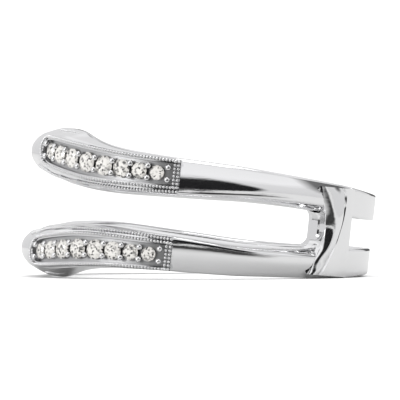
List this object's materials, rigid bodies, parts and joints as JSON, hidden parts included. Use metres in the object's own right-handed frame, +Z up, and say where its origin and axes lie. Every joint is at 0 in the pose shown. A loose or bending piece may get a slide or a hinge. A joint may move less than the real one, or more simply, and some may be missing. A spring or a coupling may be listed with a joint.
{
  "type": "ring guard enhancer",
  "caption": "Ring guard of two bowed bands joined by two bridges, with rows of small round stones in milgrain-edged channels and an open slot for a ring with a centre stone.",
  "frame": {"origin": "centre of the bounding box's base, on the surface that the ring lies on", "axes": "+Z up, close to the finger's axis as the ring lies on its side; -X to the crown, where the bands bow apart; the shank at +X"},
  "size_m": [0.0214, 0.021, 0.009],
  "materials": {
    "white_gold": "polished, rhodium plated",
    "stone": "cut and polished, colourless"
  },
  "bodies": {
    "root": {"ring_body": "white_gold", "stone_upper_front_1": "stone", "stone_upper_front_2": "stone", "stone_upper_front_3": "stone", "stone_upper_front_4": "stone", "stone_upper_front_5": "stone", "stone_upper_front_6": "stone", "stone_upper_front_7": "stone", "stone_upper_front_8": "stone", "stone_upper_back_1": "stone", "stone_upper_back_2": "stone", "stone_upper_back_3": "stone", "stone_upper_back_4": "stone", "stone_upper_back_5": "stone", "stone_upper_back_6": "stone", "stone_upper_back_7": "stone", "stone_upper_back_8": "stone", "stone_lower_front_1": "stone", "stone_lower_front_2": "stone", "stone_lower_front_3": "stone", "stone_lower_front_4": "stone", "stone_lower_front_5": "stone", "stone_lower_front_6": "stone", "stone_lower_front_7": "stone", "stone_lower_front_8": "stone", "stone_lower_back_1": "stone", "stone_lower_back_2": "stone", "stone_lower_back_3": "stone", "stone_lower_back_4": "stone", "stone_lower_back_5": "stone", "stone_lower_back_6": "stone", "stone_lower_back_7": "stone", "stone_lower_back_8": "stone"}
  },
  "joints": []
}
